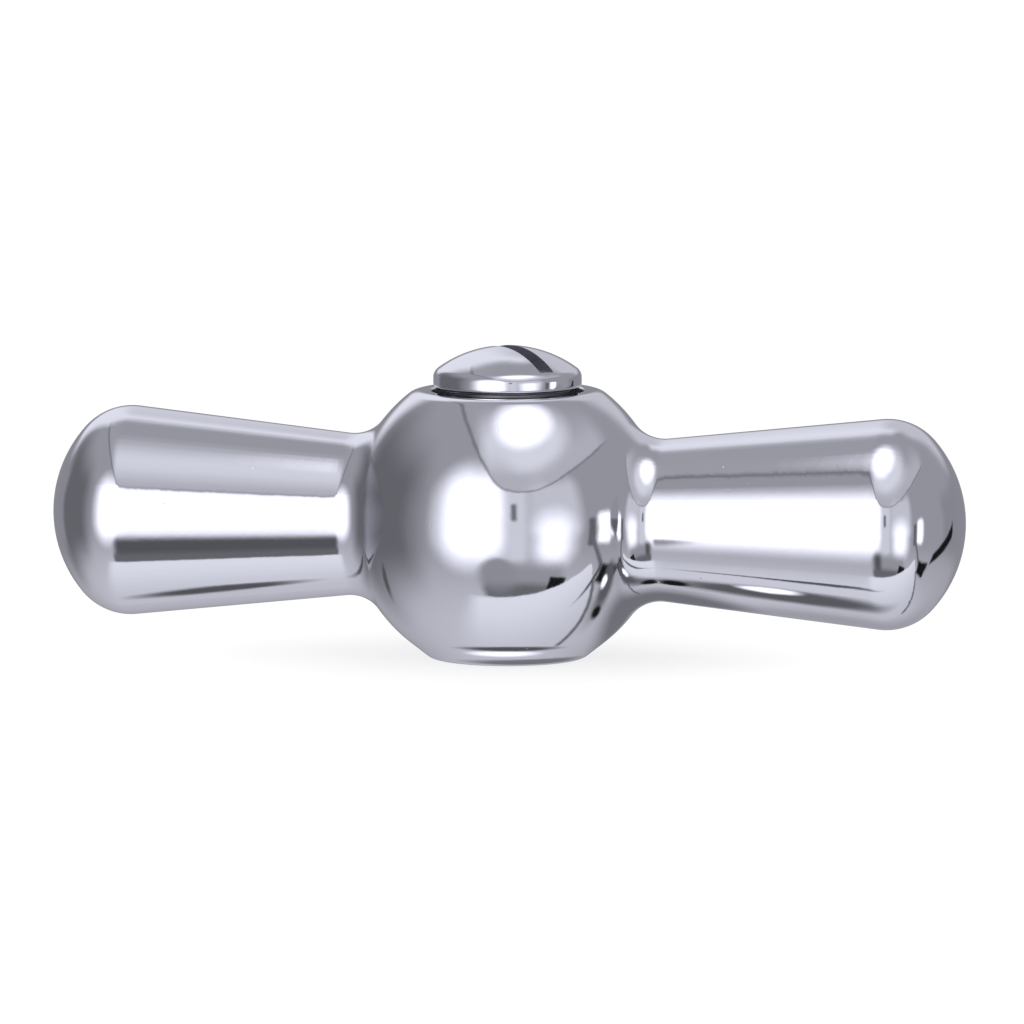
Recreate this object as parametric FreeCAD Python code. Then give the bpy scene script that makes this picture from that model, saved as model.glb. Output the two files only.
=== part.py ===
"""Tap handle: two tapered arms on a ball hub, and the slotted dome-head screw that holds it to a spindle.

Units are millimetres. +Z is the spindle axis, pointing up, and the arms lie along X. The origin is the
centre of the base face, where the spindle enters.
"""

import FreeCAD
import Part

import math
import os

from FreeCAD import Vector

# Hub: a ball that runs out into a cone at the base, faced flat at both ends
BALL_D = 25.0
CONE_START_DEG = 52.0
TOP_EDGE_ROUND = 1.6
BASE_EDGE_ROUND = 1.0

# Arms: each one widens outwards from the neck and ends in a shoulder and a dome
ARM_SPAN = 72.7
ARM_NECK_D = 12.8
ARM_TAPER_DEG = 6.2
ARM_SHOULDER_R = 4.8
ARM_DOME_HALF_DEG = 42.0
ARM_BLEND_R = 3.2

# Recess in the top face for the screw's head, with a flat rim round it
RECESS_D = 12.0
RECESS_DEPTH = 1.8
RECESS_EDGE_CHAMFER = 0.15
TOP_RIM_W = 1.37

# Socket in the base for the spindle: a plain lead-in, then serrations up to the web that the screw clamps
SPLINE_TEETH = 20
SPLINE_MAJOR_D = 8.0
SPLINE_TOOTH_H = 0.35
SPLINE_LAND_SHARE = 0.22
LEAD_IN_STEP = 0.4
LEAD_IN_DEPTH = 2.5
LEAD_IN_CHAMFER = 0.25
BASE_RIM_W = 1.7
CLAMPED_WEB = 6.9

# Screw
SCREW_D = 5.0
SCREW_LENGTH = 12.0
SCREW_TIP_CHAMFER = 0.6
NECK_D = 4.4
NECK_RUN_OUT = 0.4
SCREW_HOLE_CLEARANCE = 0.15
HEAD_CLEARANCE = 0.15
HEAD_PROUD = 3.5
HEAD_LIFT = 0.1
HEAD_UNDER_R = 0.5
HEAD_EDGE_H = 0.4
HEAD_RIM_R = 0.9
HEAD_FOOT_INSET = 1.0
SLOT_W = 1.3
SLOT_DEPTH = 1.7
SLOT_ANGLE_DEG = -45.0

# Hub heights that follow: the base face lies where the cone has narrowed to the socket and its rim
BALL_R = BALL_D / 2
LEAD_IN_D = SPLINE_MAJOR_D + 2 * LEAD_IN_STEP
BASE_R = LEAD_IN_D / 2 + BASE_RIM_W
CONE_START = math.radians(CONE_START_DEG)
BALL_CENTRE_H = (BALL_R - BASE_R * math.cos(CONE_START)) / math.sin(CONE_START)
TOP_FACE_R = RECESS_D / 2 + TOP_RIM_W
TOP_FACE_H = BALL_CENTRE_H + math.sqrt(BALL_R**2 - TOP_FACE_R**2)
RECESS_FLOOR_H = TOP_FACE_H - RECESS_DEPTH
SOCKET_END_H = RECESS_FLOOR_H - CLAMPED_WEB

ORIGIN = Vector(0, 0, 0)
ALONG_X = Vector(1, 0, 0)
ALONG_Z = Vector(0, 0, 1)
BALL_CENTRE = ALONG_Z * BALL_CENTRE_H
FULL_TURN = 360
TOLERANCE = 1e-4

# The arm's taper line in the XZ section, measured from the ball's centre
TAPER = math.radians(ARM_TAPER_DEG)
TAPER_LINE = Vector(math.cos(TAPER), 0, math.sin(TAPER))
TAPER_NORMAL = Vector(-math.sin(TAPER), 0, math.cos(TAPER))
TAPER_START = Vector(0, 0, ARM_NECK_D / 2 - BALL_R * math.tan(TAPER))


def in_section(x, z):
    """A point of the XZ section plane."""
    return Vector(x, 0, z)


def mirrored(point):
    """The same point on the other side of the spindle axis."""
    return in_section(-point.x, point.z)


def line_between(start, end):
    return Part.LineSegment(start, end).toShape()


def arc_between(start, end, centre):
    """The shorter arc from start to end about centre, in the XZ section plane."""
    radius = (start - centre).Length
    outwards = ((start + end) / 2 - centre).normalize()
    return Part.Arc(start, centre + outwards * radius, end).toShape()


def turned(edges, axis):
    """The solid of revolution of a closed section about an axis through the origin."""
    ordered = Part.sortEdges(edges)[0]
    return Part.Face(Part.Wire(ordered)).revolve(ORIGIN, axis, FULL_TURN)


def cylinder(diameter, bottom, top):
    return Part.makeCylinder(diameter / 2, top - bottom, Vector(0, 0, bottom), ALONG_Z)


def level_circles(shape, height, radius):
    """The circular edges about the spindle axis at one height, with one radius.

    The poles of the domes have edges with no curve, which are passed over.
    """
    return [
        edge
        for edge in shape.Edges
        if not edge.Degenerated
        and isinstance(edge.Curve, Part.Circle)
        and abs(edge.Curve.Radius - radius) < TOLERANCE
        and (edge.Curve.Center - ALONG_Z * height).Length < TOLERANCE
    ]


def blend_centre():
    """The centre of the arc that touches the ball and the taper line from outside."""
    start = TAPER_START + TAPER_NORMAL * ARM_BLEND_R
    nearest = -start.dot(TAPER_LINE)
    miss = start.Length**2 - nearest**2
    reach = math.sqrt((BALL_R + ARM_BLEND_R) ** 2 - miss)
    return start + TAPER_LINE * (nearest + reach)


def shoulder_and_dome_centres():
    """The centres of the shoulder arc and of the end dome that it runs into at the dome's half angle.

    The shoulder touches the taper line from inside, and it lies as far out as the arm's span asks.
    """
    half = math.radians(ARM_DOME_HALF_DEG)
    start = TAPER_START - TAPER_NORMAL * ARM_SHOULDER_R
    # Past the shoulder's centre, the tip lies further out by its radius and by a share of its height
    rise_share = (1 - math.cos(half)) / math.sin(half)
    start_tip = start.x + ARM_SHOULDER_R + start.z * rise_share
    tip_per_step = TAPER_LINE.x + TAPER_LINE.z * rise_share
    shoulder = start + TAPER_LINE * ((ARM_SPAN / 2 - start_tip) / tip_per_step)
    dome = in_section(shoulder.x - shoulder.z / math.tan(half), 0)
    return shoulder, dome


def turned_casting():
    """The ball, both arms and their blends, turned as one section about the arms' axis."""
    blend = blend_centre()
    shoulder, dome = shoulder_and_dome_centres()
    tip = in_section(ARM_SPAN / 2, 0)
    ball_end = blend * (BALL_R / blend.Length)
    blend_end = blend - TAPER_NORMAL * ARM_BLEND_R
    shoulder_start = shoulder + TAPER_NORMAL * ARM_SHOULDER_R
    shoulder_end = shoulder + (shoulder - dome).normalize() * ARM_SHOULDER_R
    edges = [arc_between(mirrored(ball_end), ball_end, ORIGIN)]
    for placed in (Vector, mirrored):
        edges += [
            arc_between(placed(ball_end), placed(blend_end), placed(blend)),
            line_between(placed(blend_end), placed(shoulder_start)),
            arc_between(placed(shoulder_start), placed(shoulder_end), placed(shoulder)),
            arc_between(placed(shoulder_end), placed(tip), placed(dome)),
            line_between(placed(tip), ORIGIN),
        ]
    casting = turned(edges, ALONG_X)
    casting.translate(BALL_CENTRE)
    return casting


def base_cone():
    """The cone from the base face up to the circle where it touches the ball."""
    touch = BALL_CENTRE + in_section(math.cos(CONE_START), -math.sin(CONE_START)) * BALL_R
    return Part.makeCone(BASE_R, touch.x, touch.z, ORIGIN, ALONG_Z)


def faced_casting():
    """The casting faced flat at the top and the base, with those edges rounded."""
    facing_cuts = [cylinder(BALL_D, TOP_FACE_H, TOP_FACE_H + BALL_R), cylinder(BALL_D, -BALL_R, 0)]
    casting = turned_casting().cut(facing_cuts).fuse(base_cone()).removeSplitter()
    casting = casting.makeFillet(TOP_EDGE_ROUND, level_circles(casting, TOP_FACE_H, TOP_FACE_R))
    return casting.makeFillet(BASE_EDGE_ROUND, level_circles(casting, 0, BASE_R))


def spline_core():
    """The space that the serrated spindle fills: a prism with straight flanks between its lands."""
    pitch = 2 * math.pi / SPLINE_TEETH
    half_land = pitch * SPLINE_LAND_SHARE / 2
    major_r = SPLINE_MAJOR_D / 2
    minor_r = major_r - SPLINE_TOOTH_H
    outline = []
    for tooth in range(SPLINE_TEETH):
        for radius, middle in ((major_r, tooth), (minor_r, tooth + 0.5)):
            for side in (-half_land, half_land):
                angle = middle * pitch + side
                outline.append(Vector(radius * math.cos(angle), radius * math.sin(angle), LEAD_IN_DEPTH))
    outline.append(outline[0])
    return Part.Face(Part.makePolygon(outline)).extrude(ALONG_Z * (SOCKET_END_H - LEAD_IN_DEPTH))


def handle_body():
    """The casting with its recess, screw hole and spindle socket."""
    screw_hole_d = SCREW_D + 2 * SCREW_HOLE_CLEARANCE
    body = faced_casting().cut(
        [
            cylinder(RECESS_D, RECESS_FLOOR_H, TOP_FACE_H + RECESS_DEPTH),
            cylinder(screw_hole_d, LEAD_IN_DEPTH, TOP_FACE_H),
            spline_core(),
            cylinder(LEAD_IN_D, -LEAD_IN_DEPTH, LEAD_IN_DEPTH),
        ]
    )
    body = body.makeChamfer(RECESS_EDGE_CHAMFER, level_circles(body, TOP_FACE_H, RECESS_D / 2))
    return body.makeChamfer(LEAD_IN_CHAMFER, level_circles(body, 0, LEAD_IN_D / 2))


def screw_blank():
    """The screw as turned: dome, rounded rim, upright edge, rounded underside, foot, neck, shank and tip."""
    head_r = RECESS_D / 2 - HEAD_CLEARANCE
    foot_r = head_r - HEAD_FOOT_INSET
    neck_r = NECK_D / 2
    neck_end_h = SOCKET_END_H - NECK_RUN_OUT
    shank_r = SCREW_D / 2
    apex = in_section(0, TOP_FACE_H + HEAD_PROUD)
    under_end = in_section(head_r - HEAD_UNDER_R, TOP_FACE_H + HEAD_LIFT)
    under_centre = under_end + ALONG_Z * HEAD_UNDER_R
    edge_bottom = under_centre + ALONG_X * HEAD_UNDER_R
    edge_top = edge_bottom + ALONG_Z * HEAD_EDGE_H
    rim_centre = edge_top - ALONG_X * HEAD_RIM_R
    # The dome passes through the apex and touches the rim's arc
    crown = apex.z - rim_centre.z
    dome_r = (rim_centre.x**2 + crown**2 - HEAD_RIM_R**2) / (2 * (crown - HEAD_RIM_R))
    dome_centre = apex - ALONG_Z * dome_r
    rim_top = rim_centre + (rim_centre - dome_centre).normalize() * HEAD_RIM_R
    tip_h = RECESS_FLOOR_H - SCREW_LENGTH
    outline = [
        under_end,
        in_section(foot_r, under_end.z),
        in_section(foot_r, RECESS_FLOOR_H),
        in_section(neck_r, RECESS_FLOOR_H),
        in_section(neck_r, neck_end_h),
        in_section(shank_r, neck_end_h),
        in_section(shank_r, tip_h + SCREW_TIP_CHAMFER),
        in_section(shank_r - SCREW_TIP_CHAMFER, tip_h),
        in_section(0, tip_h),
        apex,
    ]
    edges = [line_between(start, end) for start, end in zip(outline, outline[1:])]
    edges += [
        arc_between(apex, rim_top, dome_centre),
        arc_between(rim_top, edge_top, rim_centre),
        line_between(edge_top, edge_bottom),
        arc_between(edge_bottom, under_end, under_centre),
    ]
    return turned(edges, ALONG_Z)


def retaining_screw():
    """The screw with its driver slot cut straight across the dome."""
    floor_h = TOP_FACE_H + HEAD_PROUD - SLOT_DEPTH
    slot = Part.makeBox(RECESS_D, SLOT_W, 2 * SLOT_DEPTH, Vector(-RECESS_D / 2, -SLOT_W / 2, floor_h))
    slot.rotate(ORIGIN, ALONG_Z, SLOT_ANGLE_DEG)
    return screw_blank().cut(slot)


def main():
    os.makedirs("parts", exist_ok=True)
    pieces = {"handle_body": handle_body(), "retaining_screw": retaining_screw()}
    for name, shape in pieces.items():
        shape.exportStep(os.path.join("parts", name + ".step"))
        print(name, "valid", shape.isValid(), "solids", len(shape.Solids), "volume", round(shape.Volume, 2))


main()
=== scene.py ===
"""Looks of the tap handle: a polished chrome casting and its slotted screw, on a pale floor in studio light.

Sizes are in millimetres and are turned into metres as each mesh is made. The frame is the part's own: +Z is
the spindle axis, the arms lie along X, and the origin is the centre of the base face.
"""

import math

import bmesh
import bpy
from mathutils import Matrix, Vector


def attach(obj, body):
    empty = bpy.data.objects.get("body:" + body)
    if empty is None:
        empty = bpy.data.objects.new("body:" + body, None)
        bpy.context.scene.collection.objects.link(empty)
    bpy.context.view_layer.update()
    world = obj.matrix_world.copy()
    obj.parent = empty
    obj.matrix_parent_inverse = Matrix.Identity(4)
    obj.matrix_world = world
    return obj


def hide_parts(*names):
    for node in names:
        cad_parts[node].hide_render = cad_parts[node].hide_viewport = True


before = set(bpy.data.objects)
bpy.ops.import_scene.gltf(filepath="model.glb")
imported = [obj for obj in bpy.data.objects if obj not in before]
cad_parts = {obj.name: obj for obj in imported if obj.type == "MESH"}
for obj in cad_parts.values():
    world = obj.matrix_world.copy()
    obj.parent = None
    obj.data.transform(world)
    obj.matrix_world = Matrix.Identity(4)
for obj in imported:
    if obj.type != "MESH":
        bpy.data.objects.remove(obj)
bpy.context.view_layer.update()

MM = 0.001

# Hub and arms, as the solids have them
BALL_R = 12.5
CONE_START_DEG = 52.0
TOP_EDGE_ROUND = 1.6
BASE_EDGE_ROUND = 1.0
ARM_SPAN = 72.7
ARM_NECK_R = 6.4
ARM_TAPER_DEG = 6.2
ARM_SHOULDER_R = 4.8
ARM_DOME_HALF_DEG = 42.0
ARM_BLEND_R = 3.2

# Recess, socket and screw hole
RECESS_R = 6.0
RECESS_DEPTH = 1.8
RECESS_EDGE_ROUND = 0.15
TOP_RIM_W = 1.37
SPLINE_TEETH = 20
SPLINE_MAJOR_R = 4.0
SPLINE_TOOTH_H = 0.35
SPLINE_LAND_SHARE = 0.22
LEAD_IN_R = 4.4
LEAD_IN_DEPTH = 2.5
LEAD_IN_CHAMFER = 0.25
BASE_RIM_W = 1.7
CLAMPED_WEB = 6.9
SCREW_HOLE_R = 2.65

# Screw
HEAD_R = 5.85
HEAD_PROUD = 3.5
HEAD_LIFT = 0.1
HEAD_UNDER_R = 0.5
HEAD_EDGE_H = 0.4
HEAD_RIM_R = 0.9
HEAD_FOOT_INSET = 1.0
SLOT_W = 1.3
SLOT_DEPTH = 1.7
SLOT_ANGLE_DEG = -45.0
NECK_R = 2.2
NECK_RUN_OUT = 0.4
SHANK_R = 2.5
SHANK_LENGTH = 12.0
TIP_CHAMFER = 0.6
THREAD_PITCH = 0.8
THREAD_DEPTH = 0.45
THREAD_STEEPNESS = 1.2

# Sizes that follow
CONE_START = math.radians(CONE_START_DEG)
BASE_R = LEAD_IN_R + BASE_RIM_W
BALL_CENTRE_H = (BALL_R - BASE_R * math.cos(CONE_START)) / math.sin(CONE_START)
TOP_FACE_H = BALL_CENTRE_H + math.sqrt(BALL_R**2 - (RECESS_R + TOP_RIM_W) ** 2)
RECESS_FLOOR_H = TOP_FACE_H - RECESS_DEPTH
SOCKET_END_H = RECESS_FLOOR_H - CLAMPED_WEB
HEAD_APEX_H = TOP_FACE_H + HEAD_PROUD
THREAD_TOP_H = SOCKET_END_H - NECK_RUN_OUT
SCREW_TIP_H = RECESS_FLOOR_H - SHANK_LENGTH
SLOT_CUTTER_LENGTH = 3 * HEAD_R

# Mesh fineness: degrees per step of the arcs, steps of the straight stretches, and columns round each shape
BALL_STEP_DEG = 1.5
ARM_STEP_DEG = 3.0
DOME_STEP_DEG = 0.75
EDGE_STEP_DEG = 3.0
UNDER_STEP_DEG = 6.0
RECESS_EDGE_STEP_DEG = 12.0
LEAST_ARC_STEPS = 2
LAND_STEPS = 2
FLANK_STEPS = 4
RECESS_FLOOR_STEPS = 4
RECESS_WALL_STEPS = 2
TOP_RIM_STEPS = 6
CONE_STEPS = 4
BASE_RIM_STEPS = 4
LEAD_IN_STEPS = 3
ARM_STEPS = 24
HEAD_EDGE_STEPS = 2
FOOT_STEPS = 2
NECK_STEPS = 3
ROWS_PER_PITCH = 16
CARD_RINGS = 8
HEAD_COLUMNS = 192
CARD_COLUMNS = 96
FLOOR_COLUMNS = 64
SHARP_EDGE_DEG = 28.0
MERGE_DISTANCE = 0.03

# Camera, from the photograph's outline
CAMERA_AZIMUTH_DEG = 9.5
CAMERA_ELEVATION_DEG = 6.8
CAMERA_DISTANCE = 900.0
CAMERA_CLIP_END = 20000.0
CAMERA_LENS = 401.1
AIM_RIGHT = 0.355
AIM_UP = 0.394

# Materials of each piece, in order: polished plate, bare metal, and in the slot and the recess a thin,
# duller plate darkened as painted shade
PLATED, BARE, SHADED = range(3)
PLATE_COLOUR = (0.86, 0.86, 0.9)
BARE_COLOUR = (0.58, 0.57, 0.56)
SHADED_COLOUR = (0.5, 0.5, 0.55)
PLATE_DULLNESS = 0.05
BARE_DULLNESS = 0.33
SHADED_DULLNESS = 0.4

# Finish: features per metre and their detail, how uneven the surface is, and pits as deep as a share of that
WEAR_PER_METRE = 150.0
WEAR_DETAIL = 4.0
LEAST_WEAR = 0.6
MOST_WEAR = 1.4
WAVES_PER_METRE = 170.0
WAVES_DETAIL = 1.0
GRAIN_PER_METRE = 900.0
GRAIN_DETAIL = 2.0
GRAIN_SHARE = 0.4
POLISH_WAVE = 0.01
CAST_WAVE = 0.02
WORN_EDGE_R = 0.06
PITS_PER_METRE = 470.0
PIT_R = 0.12
PIT_DEPTH_SHARE = 0.9

# Floor: its size, drop below the base, excess over white, depth of shadow and the radii where that fades
FLOOR_R = 3000.0
FLOOR_DROP = 0.02
FLOOR_SPARE = 0.03
FLOOR_SHADOW = 0.27
SHADOW_FULL_R = 10.0
SHADOW_END_R = 30.0

# The tent's walls: patches at an azimuth and elevation, with half sizes, soft edge, brightness and slant
WHITE = (1.0, 1.0, 1.0)
TENT_TINT = (0.95, 0.96, 1.06)
HALF_TURN_DEG = 180.0
HORIZON_FADE_DEG = 5.0
WALL_FADE_DEG = (-70.0, 0.0)
WALL_LOW = 0.58
WALL_HIGH = 0.35
WALL_PATCHES = {
    "dark left wall": ((-98, 2), (18, 15), 36, 0.15, 0),
    "pale back, left": ((-162, 28), (16, 22), 16, 0.86, 0),
    "pale back, right": ((172, 20), (10, 16), 18, 0.6, 0),
    "right wall": ((104, 10), (30, 18), 16, 0.34, 0),
    "strip behind": ((178, -3), (55, 9), 9, 0.28, 0),
    "key light": ((-16, 6), (5, 12), 34, 1.85, 0),
    "pale front right": ((45, 12), (14, 12), 12, 0.62, 0),
    "fill light": ((44, -10), (1.5, 4.5), 23, 1.42, 0),
    "front gap": ((17, 2), (3, 24), 10, 0.7, 0),
    "upright in the gap": ((14, 10), (0.5, 4.5), 3.5, 0.18, 0),
    "opening": ((22, -40), (28, 6), 12, 0.33, 0),
    "opening, left": ((0, -39), (1, 8), 12, 0.1, 0),
    "opening, foot": ((20, -49), (28, 2), 9, 0.15, 0),
    "dark block": ((53, -41), (6, 4), 2, 0.01, 0),
    "right lamp": ((85, -4), (3, 6), 5, 1.5, 0),
    "right post": ((74, -6), (1.5, 7), 3, 0.14, 0),
    "right brace": ((84, -22), (9, 1), 3, 0.16, -1.2),
    "right block": ((97, -30), (7, 4), 3, 0.01, 0),
    "right band": ((121, -14), (12, 2), 2.5, 0.01, 0.6),
}

# The roof and the table: patches by how far to the right and how far behind, in units of their height
LEAST_HEIGHT = 0.01
ROOF_FRONT = 0.76
ROOF_BACK = 0.36
ROOF_FADE = (-0.5, 0.2)
ROOF_END = (0.9, 0.35)
ROOF_PATCHES = {
    "fold at the left": ((-0.42, -0.3), (0.05, 1.0), 0.25, 0.38, 0),
    "fold at the front": ((0.1, -1.7), (0.5, 0.2), 1.0, 0.5, 0),
    "right slope": ((1.3, 0.1), (0.2, 1.2), 0.7, 0.5, 0),
}
SEAM = 0.1
SEAM_SHARE = 0.6
TABLE_FRONT = 0.84
TABLE_BACK = 0.6
TABLE_FADE = (-0.7, 0.5)
TABLE_PATCHES = {
    "right edge": ((0.85, 0.215), (0.55, 0.005), 0.06, 0.14, -0.51),
}

# Edges of the roof and the table: the way each faces, its distance and softness; and how round corners are
ROOF_EDGES = (
    ((-1.0, -0.12), 0.48, 0.07),
    ((0.0, -1.0), 2.27, 0.2),
    ((1.0, 0.12), 1.4, 0.1),
)
ROOF_CORNER = 18.0
TABLE_EDGES = (
    ((0.15, -1.0), 0.78, 0.03),
    ((0.51, 1.0), 0.65, 0.03),
    ((-1.0, 0.0), 0.5, 0.3),
)
TABLE_CORNER = 6.0
FAR_INSIDE = -100.0

# Oval cards, seen only in the chrome: centre, half sizes, brightness and whether bent round the spindle axis
CARD_OUTNESS = "outness"
CARD_FADE = (1.0, 0.4)
CARDS = {
    "lamp": ((32.0, -36.0, 161.0), (60.0, 78.0), 1.5, False),
    "glow_round_lamp": ((66.0, -75.0, 162.0), (80.0, 130.0), 0.78, False),
    # The shade cards, the two dark line cards and the dark end are painted shade on the table, and the two
    # gleams are painted glints on it, all seen only in the chrome
    "shade_before_base": ((3.0, -6.4, -0.1), (7.5, 0.35), 0.2, True),
    "gleam_before_hub": ((0.8, -7.15, -0.1), (4.2, 0.35), 1.25, True),
    "fill_before_hub": ((1.6, -26.0, -0.1), (6.6, 11.0), 0.31, False),
    "shade_line_before_hub": ((1.5, -7.7, -0.1), (6.5, 0.4), 0.1, True),
    "shade_behind_hub": ((12.5, 4.0, -0.15), (8.0, 8.5), 0.19, False),
    "shade_behind_arm": ((26.0, 5.0, -0.2), (15.0, 9.0), 0.38, False),
    "shade_line_before_arm": ((21.0, -9.4, -0.1), (12.0, 0.5), 0.1, False),
    "shade_left": ((-22.5, -3.7, -0.1), (9.3, 1.3), 0.1, False),
    "shade_right": ((21.0, -5.0, -0.1), (14.0, 2.4), 0.12, False),
    "gleam": ((19.7, -6.0, -0.05), (3.4, 0.95), 1.5, False),
    "shade_dark_end": ((12.0, -4.6, -0.05), (1.8, 1.1), 0.01, False),
}


def arc(centre, radius, start_deg, end_deg, step_deg):
    """Points of an arc in a section plane, both ends included."""
    steps = max(LEAST_ARC_STEPS, math.ceil(abs(end_deg - start_deg) / step_deg))
    points = []
    for i in range(steps + 1):
        angle = math.radians(start_deg + (end_deg - start_deg) * i / steps)
        points.append((centre[0] + radius * math.cos(angle), centre[1] + radius * math.sin(angle)))
    return points


def line(start, end, steps=1):
    """Points of a straight stretch in a section plane, both ends included."""
    return [
        (start[0] + (end[0] - start[0]) * i / steps, start[1] + (end[1] - start[1]) * i / steps)
        for i in range(steps + 1)
    ]


def joined(*stretches):
    """One row of points from stretches that each start where the last one ended."""
    points = list(stretches[0])
    for stretch in stretches[1:]:
        points += stretch[1:]
    return points


def full_turn(count):
    """Angles that divide a full turn evenly."""
    return [2 * math.pi * i / count for i in range(count)]


def spindle_point(radius, turn, height):
    """A point about the spindle axis."""
    return (radius * math.cos(turn), radius * math.sin(turn), height)


def arm_point(side, x, radius, turn):
    """A point about the arms' axis, in metres."""
    return Vector((side * x, radius * math.cos(turn), BALL_CENTRE_H + radius * math.sin(turn))) * MM


def bridge(mesh, lower, upper):
    """Quads between two rings of as many vertices each."""
    count = len(lower)
    band = []
    for i in range(count):
        j = (i + 1) % count
        band.append(mesh.faces.new((lower[i], lower[j], upper[j], upper[i])))
    return band


def fan(mesh, ring, pole):
    """Triangles between a ring of vertices and one pole."""
    return [mesh.faces.new((ring[i], ring[(i + 1) % len(ring)], pole)) for i in range(len(ring))]


def loft(mesh, rows, closed=False):
    """Quads between rows of as many points each. Returns the rings of vertices and the bands of faces."""
    rings = [[mesh.verts.new(Vector(p) * MM) for p in row] for row in rows]
    pairs = list(zip(rings, rings[1:]))
    if closed:
        pairs.append((rings[-1], rings[0]))
    return rings, [bridge(mesh, lower, upper) for lower, upper in pairs]


def paint(bands, material_index):
    """Gives the faces of some bands one of their piece's materials."""
    for band in bands:
        for face in band:
            face.material_index = material_index


def shade_smooth(data):
    """Shades a mesh smooth but for its sharp edges."""
    data.shade_smooth()
    data.set_sharp_from_angle(angle=math.radians(SHARP_EDGE_DEG))


def finished_object(name, mesh):
    """A new object from a bmesh, smooth but for its sharp edges."""
    bmesh.ops.recalc_face_normals(mesh, faces=mesh.faces[:])
    data = bpy.data.meshes.new(name)
    mesh.to_mesh(data)
    mesh.free()
    shade_smooth(data)
    obj = bpy.data.objects.new(name, data)
    bpy.context.scene.collection.objects.link(obj)
    return obj


def spline_outline():
    """The socket's serrated outline round the spindle axis, with straight flanks between the lands."""
    pitch = 2 * math.pi / SPLINE_TEETH
    half_land = pitch * SPLINE_LAND_SHARE / 2
    minor_r = SPLINE_MAJOR_R - SPLINE_TOOTH_H
    corners = []
    for tooth in range(SPLINE_TEETH):
        for radius, middle in ((SPLINE_MAJOR_R, tooth), (minor_r, tooth + 0.5)):
            for side in (-half_land, half_land):
                angle = middle * pitch + side
                corners.append(Vector((radius * math.cos(angle), radius * math.sin(angle))))
    outline = []
    for i, corner in enumerate(corners):
        following = corners[(i + 1) % len(corners)]
        steps = LAND_STEPS if i % 2 == 0 else FLANK_STEPS
        outline += [corner.lerp(following, k / steps) for k in range(steps)]
    return outline


def hub_rows():
    """The hub's section round the spindle axis, from the recess floor over the outside to the lead-in's end.

    Returns the polished rows and the rows of the socket's own metal.
    """
    centre = (0.0, BALL_CENTRE_H)
    recess_edge = (RECESS_R + RECESS_EDGE_ROUND, TOP_FACE_H - RECESS_EDGE_ROUND)
    top_h = TOP_FACE_H - TOP_EDGE_ROUND
    top_r = math.sqrt((BALL_R - TOP_EDGE_ROUND) ** 2 - (top_h - BALL_CENTRE_H) ** 2)
    top_end_deg = math.degrees(math.atan2(top_h - BALL_CENTRE_H, top_r))
    base_r = BALL_R - BASE_EDGE_ROUND + math.sin(CONE_START) * (BASE_EDGE_ROUND - BALL_CENTRE_H)
    base_edge = (base_r / math.cos(CONE_START), BASE_EDGE_ROUND)
    recess_round = arc(recess_edge, RECESS_EDGE_ROUND, 180, 90, RECESS_EDGE_STEP_DEG)
    top_round = arc((top_r, top_h), TOP_EDGE_ROUND, 90, top_end_deg, EDGE_STEP_DEG)
    ball = arc(centre, BALL_R, top_end_deg, -CONE_START_DEG, BALL_STEP_DEG)
    base_round = arc(base_edge, BASE_EDGE_ROUND, -CONE_START_DEG, -90, EDGE_STEP_DEG)
    mouth = (LEAD_IN_R + LEAD_IN_CHAMFER, 0.0)
    lead_in_start = (LEAD_IN_R, LEAD_IN_CHAMFER)
    polished = joined(
        line((SCREW_HOLE_R, RECESS_FLOOR_H), (RECESS_R, RECESS_FLOOR_H), RECESS_FLOOR_STEPS),
        line((RECESS_R, RECESS_FLOOR_H), recess_round[0], RECESS_WALL_STEPS),
        recess_round,
        line(recess_round[-1], top_round[0], TOP_RIM_STEPS),
        top_round,
        ball,
        line(ball[-1], base_round[0], CONE_STEPS),
        base_round,
        line(base_round[-1], mouth, BASE_RIM_STEPS),
        line(mouth, lead_in_start),
    )
    socket = line(lead_in_start, (LEAD_IN_R, LEAD_IN_DEPTH), LEAD_IN_STEPS)
    return polished, socket


def arm_section():
    """The +X arm's section as (x, radius) about its own axis, from its start on the ball to the tip."""
    taper = math.radians(ARM_TAPER_DEG)
    along = Vector((math.cos(taper), math.sin(taper)))
    outward = Vector((-math.sin(taper), math.cos(taper)))
    start = Vector((0, ARM_NECK_R - BALL_R * math.tan(taper)))
    # The blend's centre is off the taper line and off the ball by its own radius
    beside = start + outward * ARM_BLEND_R
    nearest = -beside.dot(along)
    reach = math.sqrt((BALL_R + ARM_BLEND_R) ** 2 - (beside.length_squared - nearest**2))
    blend = beside + along * (nearest + reach)
    # The shoulder touches the taper line from inside, as far out as the span asks
    half = math.radians(ARM_DOME_HALF_DEG)
    rise_share = (1 - math.cos(half)) / math.sin(half)
    inside = start - outward * ARM_SHOULDER_R
    start_tip = inside.x + ARM_SHOULDER_R + inside.y * rise_share
    tip_per_step = along.x + along.y * rise_share
    shoulder = inside + along * ((ARM_SPAN / 2 - start_tip) / tip_per_step)
    dome = Vector((shoulder.x - shoulder.y / math.tan(half), 0))
    dome_r = ARM_SPAN / 2 - dome.x
    ball_deg = math.degrees(math.atan2(blend.y, blend.x))
    blend_arc = arc(blend, ARM_BLEND_R, ball_deg + 180, 270 + ARM_TAPER_DEG, ARM_STEP_DEG)
    shoulder_arc = arc(shoulder, ARM_SHOULDER_R, 90 + ARM_TAPER_DEG, ARM_DOME_HALF_DEG, ARM_STEP_DEG)
    dome_arc = arc(dome, dome_r, ARM_DOME_HALF_DEG, 0, ARM_STEP_DEG)
    return joined(blend_arc, line(blend_arc[-1], shoulder_arc[0], ARM_STEPS), shoulder_arc, dome_arc)


def open_rim(mesh, side):
    """The vertices of the hub's open edge on one side."""
    return {v for e in mesh.edges if e.is_boundary for v in e.verts if v.co.x * side > 0}


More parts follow.
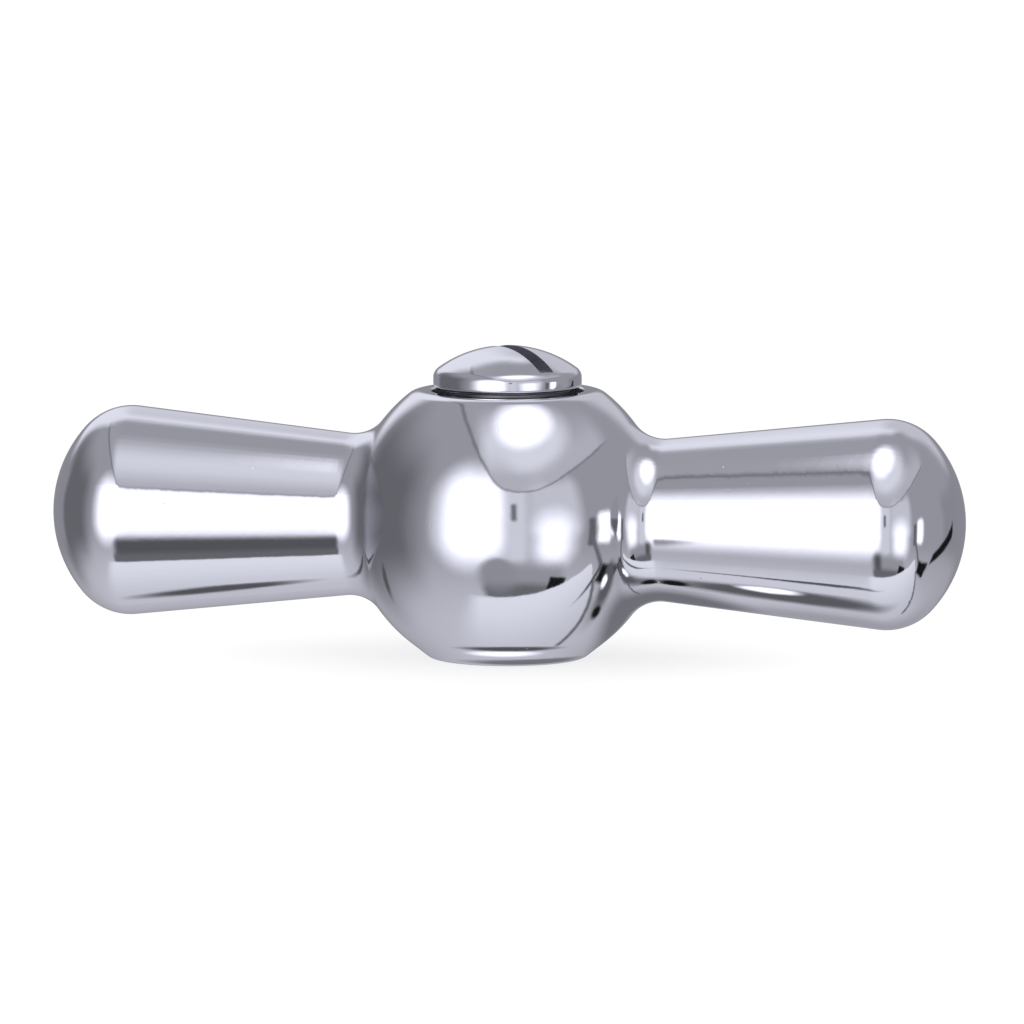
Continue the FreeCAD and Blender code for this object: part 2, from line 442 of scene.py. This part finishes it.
def grow_arm(mesh, side, section):
    """Cuts the hub off at the blend's start and continues it as the arm, ring by ring, to the tip."""
    root_x, root_r = section[0]
    bmesh.ops.bisect_plane(
        mesh,
        geom=mesh.verts[:] + mesh.edges[:] + mesh.faces[:],
        plane_co=(side * root_x * MM, 0, 0),
        plane_no=(side, 0, 0),
        clear_outer=True,
    )
    bmesh.ops.remove_doubles(mesh, verts=list(open_rim(mesh, side)), dist=MERGE_DISTANCE * MM)

    def turn_of(vert):
        return math.atan2(vert.co.z - BALL_CENTRE_H * MM, vert.co.y)

    ring = sorted(open_rim(mesh, side), key=turn_of)
    turns = [turn_of(v) for v in ring]
    for vert, turn in zip(ring, turns):
        vert.co = arm_point(side, root_x, root_r, turn)
    for x, radius in section[1:-1]:
        following = [mesh.verts.new(arm_point(side, x, radius, turn)) for turn in turns]
        bridge(mesh, ring, following)
        ring = following
    tip_x = section[-1][0]
    fan(mesh, ring, mesh.verts.new(arm_point(side, tip_x, 0, 0)))


def make_handle():
    """The casting as one closed mesh: the hub about the spindle axis, then both arms about their own."""
    outline = spline_outline()
    turns = [math.atan2(p.y, p.x) for p in outline]
    polished, socket = hub_rows()
    rows = [[spindle_point(r, t, h) for t in turns] for r, h in joined(polished, socket)]
    rows += [[(p.x, p.y, h) for p in outline] for h in (LEAD_IN_DEPTH, SOCKET_END_H)]
    rows.append([spindle_point(SCREW_HOLE_R, t, SOCKET_END_H) for t in turns])
    mesh = bmesh.new()
    _, bands = loft(mesh, rows, closed=True)
    recess_bands = RECESS_FLOOR_STEPS + RECESS_WALL_STEPS
    # The recess floor and wall take the thin plate: duller plating, darkened as painted shade
    paint(bands[:recess_bands], SHADED)
    paint(bands[len(polished) - 1:], BARE)
    section = arm_section()
    for side in (1, -1):
        grow_arm(mesh, side, section)
    return finished_object("handle_casting", mesh)


def screw_rows():
    """The screw's head and neck about its axis: the plated rows, from near the apex, and the plain ones."""
    under = (HEAD_R - HEAD_UNDER_R, TOP_FACE_H + HEAD_LIFT + HEAD_UNDER_R)
    rim = (HEAD_R - HEAD_RIM_R, under[1] + HEAD_EDGE_H)
    crown = HEAD_APEX_H - rim[1]
    dome_r = (rim[0] ** 2 + crown**2 - HEAD_RIM_R**2) / (2 * (crown - HEAD_RIM_R))
    dome = (0.0, HEAD_APEX_H - dome_r)
    rim_deg = math.degrees(math.atan2(rim[1] - dome[1], rim[0]))
    foot_r = HEAD_R - HEAD_FOOT_INSET
    dome_arc = arc(dome, dome_r, 90, rim_deg, DOME_STEP_DEG)
    under_arc = arc(under, HEAD_UNDER_R, 0, -90, UNDER_STEP_DEG)
    under_h = under_arc[-1][1]
    plated = joined(
        dome_arc[1:],
        arc(rim, HEAD_RIM_R, rim_deg, 0, EDGE_STEP_DEG),
        line((HEAD_R, rim[1]), under_arc[0], HEAD_EDGE_STEPS),
        under_arc,
    )
    plain = joined(
        line(under_arc[-1], (foot_r, under_h)),
        line((foot_r, under_h), (foot_r, RECESS_FLOOR_H), FOOT_STEPS),
        line((foot_r, RECESS_FLOOR_H), (NECK_R, RECESS_FLOOR_H), FOOT_STEPS),
        line((NECK_R, RECESS_FLOOR_H), (NECK_R, THREAD_TOP_H), NECK_STEPS),
    )
    return plated, plain


def thread_radius(height, turn):
    """The thread's radius: a helical ridge with a flat crest, cut back at the chamfered tip."""
    phase = (height / THREAD_PITCH - turn / (2 * math.pi)) % 1.0
    ridge = 1 - abs(2 * phase - 1)
    radius = SHANK_R - THREAD_DEPTH * (1 - min(1.0, THREAD_STEEPNESS * ridge))
    return min(radius, SHANK_R - TIP_CHAMFER + height - SCREW_TIP_H)


def make_screw():
    """The screw as one closed mesh: head, neck and threaded shank, with a slot cut across the dome."""
    turns = full_turn(HEAD_COLUMNS)
    plated, plain = screw_rows()
    rows = [[spindle_point(r, t, h) for t in turns] for r, h in joined(plated, plain)]
    steps = round((THREAD_TOP_H - SCREW_TIP_H) / THREAD_PITCH * ROWS_PER_PITCH)
    for i in range(steps + 1):
        height = THREAD_TOP_H + (SCREW_TIP_H - THREAD_TOP_H) * i / steps
        rows.append([spindle_point(thread_radius(height, t), t, height) for t in turns])
    mesh = bmesh.new()
    rings, bands = loft(mesh, rows)
    paint(bands[len(plated) - 1:], BARE)
    for ring, height, material_index in ((rings[0], HEAD_APEX_H, PLATED), (rings[-1], SCREW_TIP_H, BARE)):
        pole = mesh.verts.new(Vector((0, 0, height)) * MM)
        paint([fan(mesh, ring, pole)], material_index)
    screw = finished_object("slotted_screw", mesh)
    cut_slot(screw)
    return screw


def cut_slot(screw):
    """Takes the driver slot out of the screw's dome."""
    cutter_mesh = bmesh.new()
    bmesh.ops.create_cube(cutter_mesh, size=1.0)
    # The cutter's faces become the slot's walls and floor, in the thin plate darkened as painted shade
    paint([cutter_mesh.faces], SHADED)
    cutter = finished_object("slot_cutter", cutter_mesh)
    # Half of the cutter's height is above the apex
    cutter.scale = Vector((SLOT_CUTTER_LENGTH, SLOT_W, 2 * SLOT_DEPTH)) * MM
    cutter.rotation_euler.z = math.radians(SLOT_ANGLE_DEG)
    cutter.location.z = HEAD_APEX_H * MM
    cut = screw.modifiers.new("slot", "BOOLEAN")
    cut.operation = "DIFFERENCE"
    cut.solver = "EXACT"
    cut.object = cutter
    bpy.context.view_layer.update()
    graph = bpy.context.evaluated_depsgraph_get()
    slotted = bpy.data.meshes.new_from_object(screw.evaluated_get(graph))
    screw.modifiers.clear()
    screw.data = slotted
    shade_smooth(slotted)
    bpy.data.objects.remove(cutter)


def make_camera():
    """The photograph's view: a long lens, low and a little to the right."""
    azimuth = math.radians(CAMERA_AZIMUTH_DEG)
    elevation = math.radians(CAMERA_ELEVATION_DEG)
    right = Vector((math.cos(azimuth), math.sin(azimuth), 0))
    back = Vector((math.sin(azimuth), -math.cos(azimuth), 0)) * math.cos(elevation)
    back.z = math.sin(elevation)
    up = back.cross(right)
    aim = Vector((0, 0, BALL_CENTRE_H)) + right * AIM_RIGHT + up * AIM_UP
    data = bpy.data.cameras.new("camera")
    data.lens = CAMERA_LENS
    data.clip_end = CAMERA_CLIP_END * MM
    camera = bpy.data.objects.new("camera", data)
    camera.location = (aim + back * CAMERA_DISTANCE) * MM
    camera.rotation_mode = "QUATERNION"
    camera.rotation_quaternion = (-back).to_track_quat("-Z", "Y")
    bpy.context.scene.collection.objects.link(camera)
    bpy.context.scene.camera = camera


class Nodes:
    """A short way to write sums as shader nodes: arguments are sockets or plain numbers."""

    def __init__(self, tree):
        self.tree = tree

    def add(self, kind):
        """A new node."""
        return self.tree.nodes.new(kind)

    def feed(self, socket, value):
        """Links a socket to another one, or sets it to a plain value."""
        if isinstance(value, bpy.types.NodeSocket):
            self.tree.links.new(value, socket)
        else:
            socket.default_value = value

    def show(self, output_name, shader):
        """Makes a shader the one that the tree gives out."""
        self.feed(self.tree.nodes[output_name].inputs["Surface"], shader)

    def sum(self, operation, *values):
        """One step of arithmetic."""
        node = self.add("ShaderNodeMath")
        node.operation = operation
        for socket, value in zip(node.inputs, values):
            self.feed(socket, value)
        return node.outputs[0]

    def ramp(self, value, start, end):
        """0 up to the start, 1 from the end on, and a smooth step between."""
        node = self.add("ShaderNodeMapRange")
        node.interpolation_type = "SMOOTHSTEP"
        self.feed(node.inputs["Value"], value)
        self.feed(node.inputs["From Min"], start)
        self.feed(node.inputs["From Max"], end)
        return node.outputs[0]

    def mix(self, share, first, second):
        """The first number, with a share of the second."""
        node = self.add("ShaderNodeMix")
        self.feed(node.inputs["Factor"], share)
        self.feed(node.inputs["A"], first)
        self.feed(node.inputs["B"], second)
        return node.outputs[0]

    def mix_shaders(self, share, first, second):
        """The first shader, with a share of the second."""
        node = self.add("ShaderNodeMixShader")
        for socket, value in zip(node.inputs, (share, first, second)):
            self.feed(socket, value)
        return node.outputs[0]

    def noise(self, where, scale, detail):
        """Smooth noise from 0 to 1."""
        node = self.add("ShaderNodeTexNoise")
        self.feed(node.inputs["Vector"], where)
        node.inputs["Scale"].default_value = scale
        node.inputs["Detail"].default_value = detail
        return node.outputs["Fac"]


def new_material(name):
    """A new material, and the short way to write its nodes."""
    material = bpy.data.materials.new(name)
    material.use_nodes = True
    return material, Nodes(material.node_tree)


def metal(name, colour, dullness, wave):
    """A metal of slightly varied sheen, with an uneven and finely pitted surface and worn edges."""
    material, nodes = new_material(name)
    shader = material.node_tree.nodes["Principled BSDF"]
    shader.inputs["Base Color"].default_value = (*colour, 1)
    shader.inputs["Metallic"].default_value = 1.0
    where = nodes.add("ShaderNodeTexCoord").outputs["Object"]
    wear = nodes.noise(where, WEAR_PER_METRE, WEAR_DETAIL)
    nodes.feed(shader.inputs["Roughness"], nodes.mix(wear, dullness * LEAST_WEAR, dullness * MOST_WEAR))
    waves = nodes.noise(where, WAVES_PER_METRE, WAVES_DETAIL)
    grain = nodes.noise(where, GRAIN_PER_METRE, GRAIN_DETAIL)
    rough = nodes.sum("MULTIPLY_ADD", grain, GRAIN_SHARE, waves)
    cells = nodes.add("ShaderNodeTexVoronoi")
    nodes.feed(cells.inputs["Vector"], where)
    cells.inputs["Scale"].default_value = PITS_PER_METRE
    pits = nodes.ramp(cells.outputs["Distance"], PIT_R * MM * PITS_PER_METRE, 0.0)
    edges = nodes.add("ShaderNodeBevel")
    edges.inputs["Radius"].default_value = WORN_EDGE_R * MM
    bump = nodes.add("ShaderNodeBump")
    bump.inputs["Distance"].default_value = wave * MM
    nodes.feed(bump.inputs["Height"], nodes.sum("MULTIPLY_ADD", pits, -PIT_DEPTH_SHARE, rough))
    nodes.feed(bump.inputs["Normal"], edges.outputs["Normal"])
    nodes.feed(shader.inputs["Normal"], bump.outputs["Normal"])
    return material


def make_world():
    """A light tent as the chrome sees it; white to the camera, and even light on what is matt."""
    world = bpy.data.worlds.new("light_tent")
    world.use_nodes = True
    bpy.context.scene.world = world
    nodes = Nodes(world.node_tree)
    toward = nodes.add("ShaderNodeTexCoord").outputs["Generated"]
    parts = nodes.add("ShaderNodeSeparateXYZ")
    nodes.feed(parts.inputs[0], toward)
    x, y, z = parts.outputs
    azimuth = nodes.sum("DEGREES", nodes.sum("ARCTAN2", x, nodes.sum("MULTIPLY", y, -1.0)))
    elevation = nodes.sum("DEGREES", nodes.sum("ARCSINE", z))
    height = nodes.sum("MAXIMUM", nodes.sum("ABSOLUTE", z), LEAST_HEIGHT)
    right = nodes.sum("DIVIDE", x, height)
    behind = nodes.sum("DIVIDE", y, height)

    def laid(under, place, centre, half_size, edge, level, slant):
        """Lays a soft-edged patch with round corners over what is there."""
        to_right = nodes.sum("SUBTRACT", place[0], centre[0])
        beside = nodes.sum("WRAP", to_right, HALF_TURN_DEG, -HALF_TURN_DEG)
        rise = nodes.sum("MULTIPLY_ADD", beside, -slant, nodes.sum("SUBTRACT", place[1], centre[1]))
        squares = 0.0
        for off, half in zip((beside, rise), half_size):
            outside = nodes.sum("MAXIMUM", nodes.sum("SUBTRACT", nodes.sum("ABSOLUTE", off), half), 0.0)
            squares = nodes.sum("MULTIPLY_ADD", outside, outside, squares)
        return nodes.mix(nodes.ramp(nodes.sum("SQRT", squares), edge, 0.0), under, level)

    def inside(edges, corner):
        """1 inside a shape with straight soft edges and rounded corners, and 0 outside it."""
        excess = FAR_INSIDE
        for (to_right, to_back), reach, edge in edges:
            along = nodes.sum("MULTIPLY_ADD", right, to_right, nodes.sum("MULTIPLY", behind, to_back))
            beyond = nodes.sum("DIVIDE", nodes.sum("SUBTRACT", along, reach), edge)
            excess = nodes.sum("SMOOTH_MAX", excess, beyond, corner)
        return nodes.ramp(excess, 0.0, -1.0)

    light = nodes.mix(nodes.ramp(elevation, *WALL_FADE_DEG), WALL_LOW, WALL_HIGH)
    for patch in WALL_PATCHES.values():
        light = laid(light, (azimuth, elevation), *patch)

    roof = nodes.mix(nodes.ramp(behind, *ROOF_FADE), ROOF_FRONT, ROOF_BACK)
    for patch in ROOF_PATCHES.values():
        roof = laid(roof, (right, behind), *patch)
    above = nodes.ramp(elevation, 0.0, HORIZON_FADE_DEG)
    overhead = nodes.sum("MULTIPLY", above, nodes.ramp(behind, *ROOF_END))
    under_roof = inside(ROOF_EDGES, ROOF_CORNER)
    light = nodes.mix(nodes.sum("MULTIPLY", overhead, under_roof), light, roof)
    # The roof shows a seam half way through its edges, where this product has its peak of a quarter
    halfway = nodes.sum("MULTIPLY", under_roof, nodes.sum("SUBTRACT", 1.0, under_roof))
    seam = nodes.sum("MULTIPLY", nodes.sum("MULTIPLY", halfway, 4 * SEAM_SHARE), overhead)
    light = nodes.mix(seam, light, SEAM)

    table = nodes.mix(nodes.ramp(behind, *TABLE_FADE), TABLE_FRONT, TABLE_BACK)
    lower = nodes.mix(inside(TABLE_EDGES, TABLE_CORNER), light, table)
    for patch in TABLE_PATCHES.values():
        lower = laid(lower, (right, behind), *patch)
    below = nodes.ramp(elevation, 0.0, -HORIZON_FADE_DEG)
    light = nodes.mix(below, light, lower)

    tent = world.node_tree.nodes["Background"]
    tent.inputs["Color"].default_value = (*TENT_TINT, 1)
    nodes.feed(tent.inputs["Strength"], light)
    plain = nodes.add("ShaderNodeBackground")
    plain.inputs["Color"].default_value = (*WHITE, 1)
    rays = nodes.add("ShaderNodeLightPath").outputs
    plain_share = nodes.sum("MAXIMUM", rays["Is Camera Ray"], rays["Is Diffuse Ray"])
    nodes.show("World Output", nodes.mix_shaders(plain_share, tent.outputs[0], plain.outputs[0]))
    world.cycles.sampling_method = "NONE"


def make_card(name, centre, half_size, level, bent):
    """A flat oval card with a soft edge, seen only in the chrome. A bent one runs round the spindle axis."""
    mesh = bmesh.new()
    outness = mesh.verts.layers.float.new(CARD_OUTNESS)
    shares = [1 - ring / CARD_RINGS for ring in range(CARD_RINGS)]
    rows = []
    for share in shares:
        row = []
        for turn in full_turn(CARD_COLUMNS):
            x = centre[0] + half_size[0] * share * math.cos(turn)
            y = centre[1] + half_size[1] * share * math.sin(turn)
            if bent:
                swing = x / centre[1]
                x, y = y * math.sin(swing), y * math.cos(swing)
            row.append((x, y, centre[2]))
        rows.append(row)
    rings, _ = loft(mesh, rows)
    mesh.faces.new(rings[-1])
    for ring, share in zip(rings, shares):
        for vert in ring:
            vert[outness] = share
    card = finished_object(name, mesh)
    card.visible_camera = False
    card.visible_diffuse = False
    card.visible_shadow = False
    material, nodes = new_material(name)
    out = nodes.add("ShaderNodeAttribute")
    out.attribute_name = CARD_OUTNESS
    glow = nodes.add("ShaderNodeEmission")
    glow.inputs["Color"].default_value = (*TENT_TINT, 1)
    glow.inputs["Strength"].default_value = level
    clear = nodes.add("ShaderNodeBsdfTransparent")
    fade = nodes.ramp(out.outputs["Fac"], *CARD_FADE)
    nodes.show("Material Output", nodes.mix_shaders(fade, clear.outputs[0], glow.outputs[0]))
    card.data.materials.append(material)


def make_floor():
    """A white floor with only a faint shadow. It stays out of the chrome and is see-through from below."""
    mesh = bmesh.new()
    bmesh.ops.create_circle(mesh, cap_ends=True, radius=FLOOR_R * MM, segments=FLOOR_COLUMNS)
    floor = finished_object("floor", mesh)
    floor.location.z = -FLOOR_DROP * MM
    floor.visible_glossy = False
    material, nodes = new_material("white_floor")
    out = nodes.add("ShaderNodeVectorMath")
    out.operation = "LENGTH"
    nodes.feed(out.inputs[0], nodes.add("ShaderNodeTexCoord").outputs["Object"])
    near = nodes.ramp(out.outputs["Value"], SHADOW_END_R * MM, SHADOW_FULL_R * MM)
    shadow = nodes.sum("MULTIPLY", near, FLOOR_SHADOW)
    glow = nodes.add("ShaderNodeEmission")
    nodes.feed(glow.inputs["Strength"], nodes.sum("SUBTRACT", 1.0 + FLOOR_SPARE, shadow))
    matt = nodes.add("ShaderNodeBsdfDiffuse")
    nodes.feed(matt.inputs["Color"], shadow)
    both = nodes.add("ShaderNodeAddShader")
    nodes.feed(both.inputs[0], glow.outputs[0])
    nodes.feed(both.inputs[1], matt.outputs[0])
    clear = nodes.add("ShaderNodeBsdfTransparent")
    from_below = nodes.add("ShaderNodeNewGeometry").outputs["Backfacing"]
    nodes.show("Material Output", nodes.mix_shaders(from_below, both.outputs[0], clear.outputs[0]))
    floor.data.materials.append(material)


handle = make_handle()
screw = make_screw()
plate = metal("polished_plate", PLATE_COLOUR, PLATE_DULLNESS, POLISH_WAVE)
bare = metal("bare_metal", BARE_COLOUR, BARE_DULLNESS, CAST_WAVE)
# Thin, duller plate, darkened as painted shade for the recess and the slot
shaded = metal("thin_plate_with_painted_shade", SHADED_COLOUR, SHADED_DULLNESS, POLISH_WAVE)
for piece, node, slot in (
    (handle, "handle_body", "body_chrome"),
    (screw, "retaining_screw", "screw_chrome"),
):
    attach(piece, "root")
    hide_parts(node)
    for material in (plate, bare, shaded):
        piece.data.materials.append(material)
make_floor()
for card_name, card in CARDS.items():
    make_card(card_name, *card)
make_world()
make_camera()
bpy.context.scene.view_settings.view_transform = "Standard"
